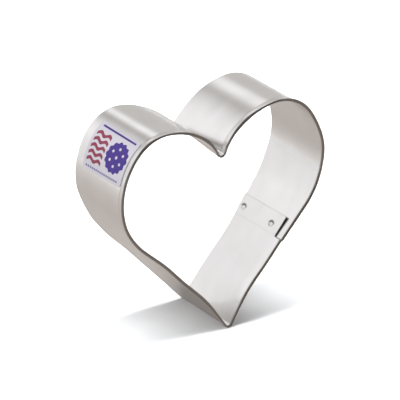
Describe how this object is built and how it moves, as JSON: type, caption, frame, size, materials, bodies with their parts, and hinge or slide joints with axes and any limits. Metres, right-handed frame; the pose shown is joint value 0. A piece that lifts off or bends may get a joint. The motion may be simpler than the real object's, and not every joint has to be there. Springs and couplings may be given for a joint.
{
  "type": "heart cookie cutter",
  "caption": "Heart-shaped cookie cutter bent from one strip of tinplate, with a hemmed rim for the palm, a thin cutting edge, a lapped spot-welded seam and a small label.",
  "frame": {"origin": "middle of the heart's plan box, on the plane of the cutting edge", "axes": "+Z from the cutting edge to the hemmed rim, -Y towards the heart's point, X across the lobes"},
  "size_m": [0.0674, 0.0652, 0.0254],
  "materials": {
    "tinplate": "bright tinplated steel with fine rolling lines along the strip, satin sheen",
    "weld_metal": "dull dished weld metal, slightly greyer than the sheet",
    "label_stock": "printed self-adhesive label, slight gloss"
  },
  "bodies": {
    "root": {"heart_band": "tinplate", "edge_side_weld": "weld_metal", "hem_side_weld": "weld_metal", "label": "label_stock"}
  },
  "joints": []
}
